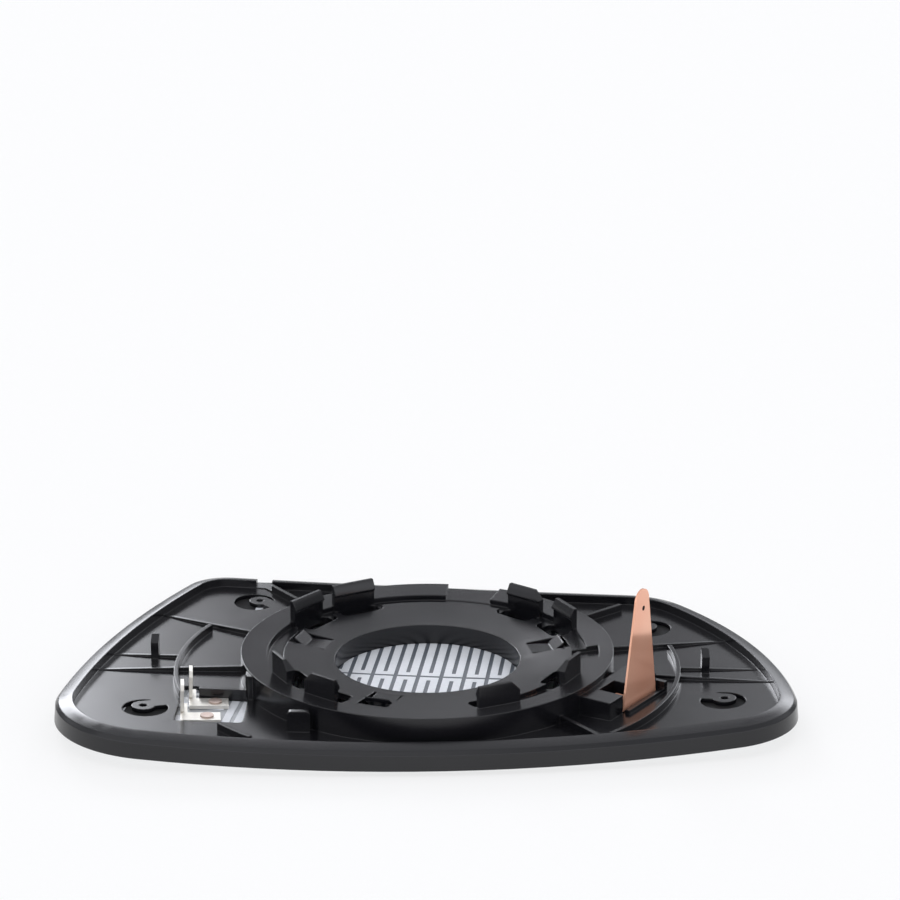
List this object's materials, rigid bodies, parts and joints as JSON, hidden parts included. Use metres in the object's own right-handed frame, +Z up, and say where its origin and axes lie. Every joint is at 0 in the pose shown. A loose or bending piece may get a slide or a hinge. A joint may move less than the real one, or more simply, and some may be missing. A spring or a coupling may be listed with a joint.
{
  "type": "car door mirror glass",
  "caption": "Heated convex door mirror glass in a moulded backing plate with a snap-hook seat ring, spade terminals and an upright copper strip.",
  "frame": {"origin": "under the middle of the plate, where the bulged mirror face touches the ground", "axes": "+X along the mirror's length, +Y away from its near edge, +Z up through its back"},
  "size_m": [0.1766, 0.117, 0.0331],
  "materials": {
    "silvered_glass": "polished",
    "heater_film": "satin film",
    "printed_silver": "matt print",
    "black_plastic": "semi-gloss, as moulded",
    "copper": "bright rolled copper",
    "tinned_metal": "tinned"
  },
  "bodies": {
    "root": {"mirror_glass": "silvered_glass", "heater_film": "heater_film", "heater_track": "printed_silver", "carrier_plate": "black_plastic", "copper_strip": "copper", "terminal_front": "tinned_metal", "terminal_rear": "tinned_metal", "terminal_rivets": "tinned_metal"}
  },
  "joints": []
}
